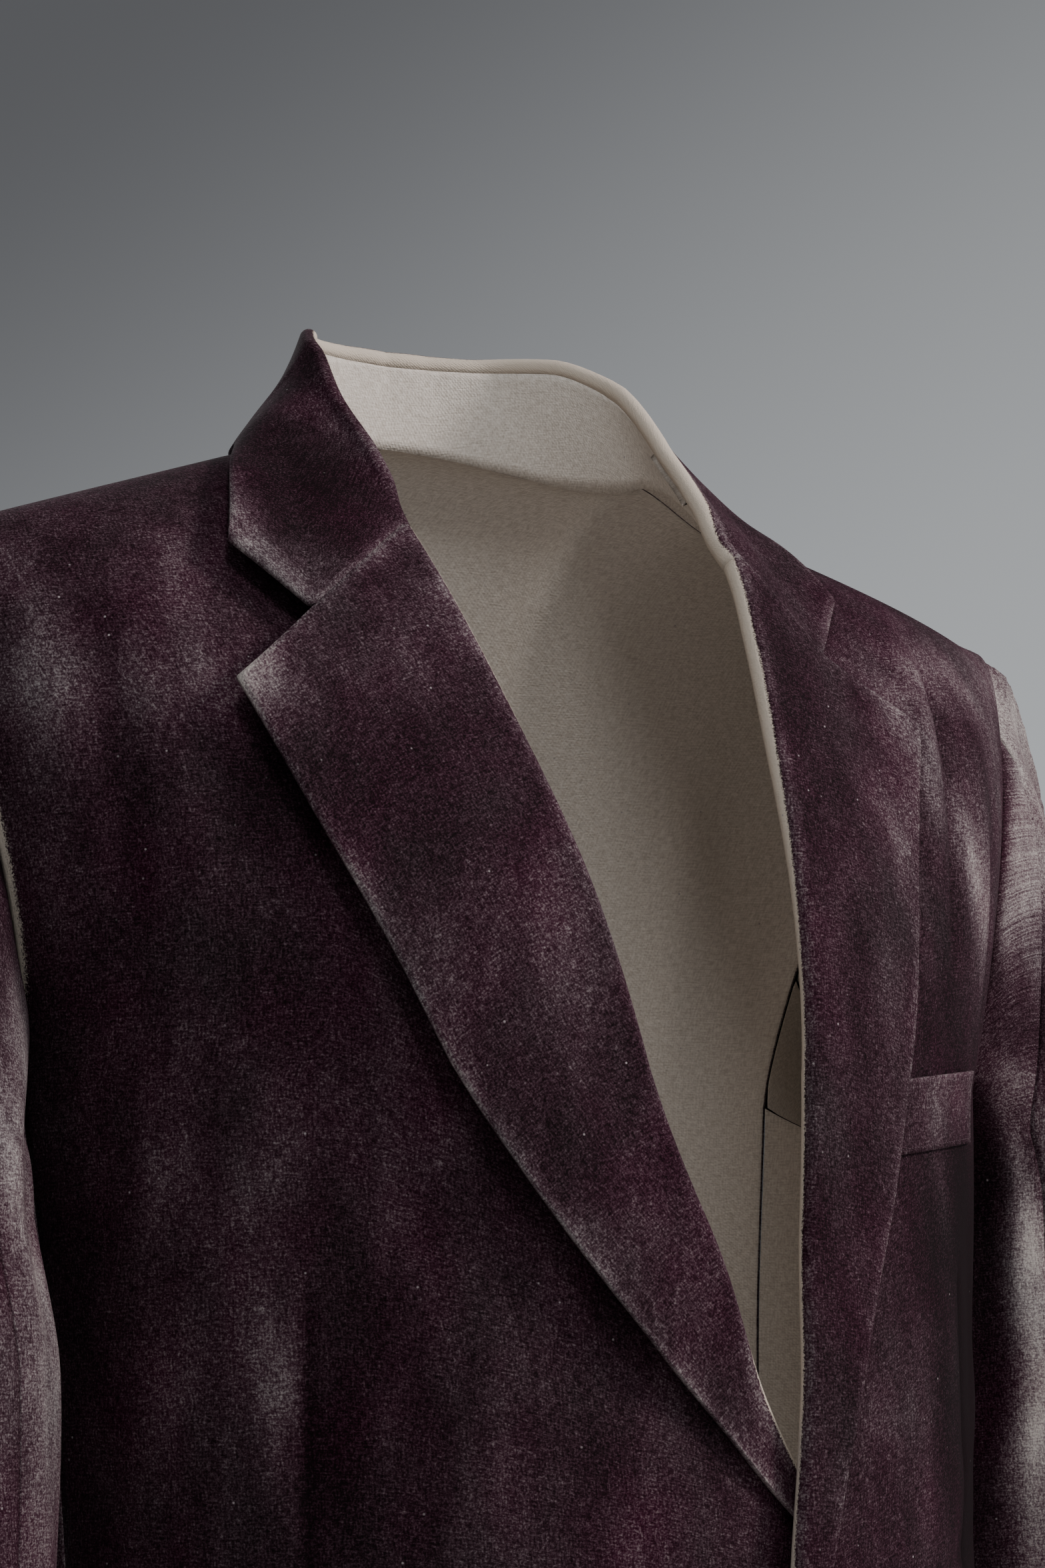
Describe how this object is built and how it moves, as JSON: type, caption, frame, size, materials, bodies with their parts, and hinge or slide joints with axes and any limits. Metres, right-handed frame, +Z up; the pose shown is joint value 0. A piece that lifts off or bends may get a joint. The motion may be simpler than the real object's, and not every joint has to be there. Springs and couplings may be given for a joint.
{
  "type": "blazer",
  "caption": "Single-breasted tailored blazer in its worn form, with notched lapels in a deep V, a breast pocket welt and open neck, hem and cuffs.",
  "frame": {"origin": "midway between the two points where the shoulder seams meet the neckline, where a wearer's shoulders and neck hold the blazer up", "axes": "+Z up along the wearer; the front faces -Y; +X is the wearer's left"},
  "size_m": [0.5974, 0.3094, 0.7962],
  "materials": {
    "front_right": "plum dye over cream cotton and linen twill",
    "front_left": "plum dye over cream cotton and linen twill",
    "side_body_right": "plum dye over cream cotton and linen twill",
    "side_body_left": "plum dye over cream cotton and linen twill",
    "back_right": "plum dye over cream cotton and linen twill",
    "back_left": "plum dye over cream cotton and linen twill",
    "lapel_right": "plum dye over cream cotton and linen twill",
    "lapel_left": "plum dye over cream cotton and linen twill",
    "top_sleeve_right": "plum dye over cream cotton and linen twill",
    "top_sleeve_left": "plum dye over cream cotton and linen twill",
    "under_sleeve_right": "plum dye over cream cotton and linen twill",
    "under_sleeve_left": "plum dye over cream cotton and linen twill",
    "collar_stand": "undyed cream twill",
    "collar_fall": "plum dye over cream cotton and linen twill",
    "breast_welt": "plum dye over cream cotton and linen twill",
    "button": "dark horn-coloured resin, satin"
  },
  "bodies": {
    "root": {"front_right": "front_right", "front_left": "front_left", "side_body_right": "side_body_right", "side_body_left": "side_body_left", "back_right": "back_right", "back_left": "back_left", "lapel_right": "lapel_right", "lapel_left": "lapel_left", "top_sleeve_right": "top_sleeve_right", "top_sleeve_left": "top_sleeve_left", "under_sleeve_right": "under_sleeve_right", "under_sleeve_left": "under_sleeve_left", "collar_stand": "collar_stand", "collar_fall": "collar_fall", "breast_welt": "breast_welt", "button": "button"}
  },
  "joints": []
}
